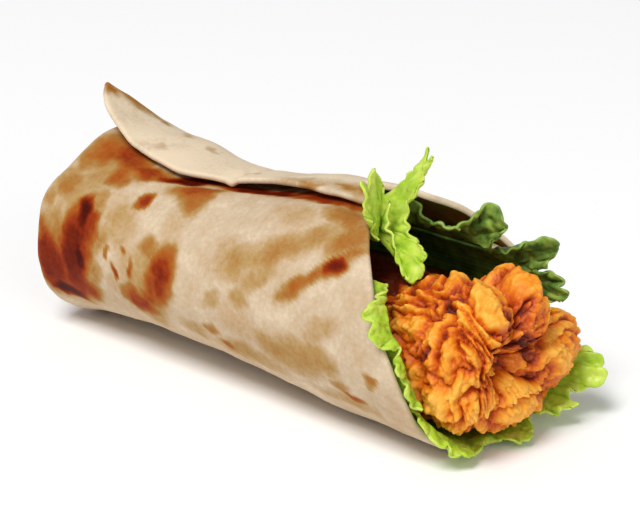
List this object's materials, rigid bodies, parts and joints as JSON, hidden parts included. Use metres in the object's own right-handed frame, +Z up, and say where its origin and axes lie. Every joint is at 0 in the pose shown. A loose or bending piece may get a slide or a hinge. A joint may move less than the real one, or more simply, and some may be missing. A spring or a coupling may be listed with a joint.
{
  "type": "chicken wrap",
  "caption": "Flour tortilla rolled round a breaded chicken fillet and lettuce, lying on its side, folded shut at one end and open at the other, with a loose flap on top.",
  "frame": {"origin": "bottom centre of the whole wrap's box, on the surface that it lies on", "axes": "+X along the roll towards its open end, +Y towards the back, where the flap is joined, and +Z up"},
  "size_m": [0.1562, 0.0656, 0.0687],
  "materials": {
    "tortilla": "soft, floury and toasted in patches",
    "breading": "craggy, crisp and slightly oily",
    "light_lettuce": "fresh, satin",
    "dark_lettuce": "fresh, satin"
  },
  "bodies": {
    "root": {"tortilla": "tortilla", "chicken": "breading", "lettuce_top": "light_lettuce", "lettuce_front": "light_lettuce", "lettuce_under": "light_lettuce", "lettuce_low_back": "light_lettuce", "lettuce_back": "dark_lettuce", "lettuce_inner": "dark_lettuce"}
  },
  "joints": []
}
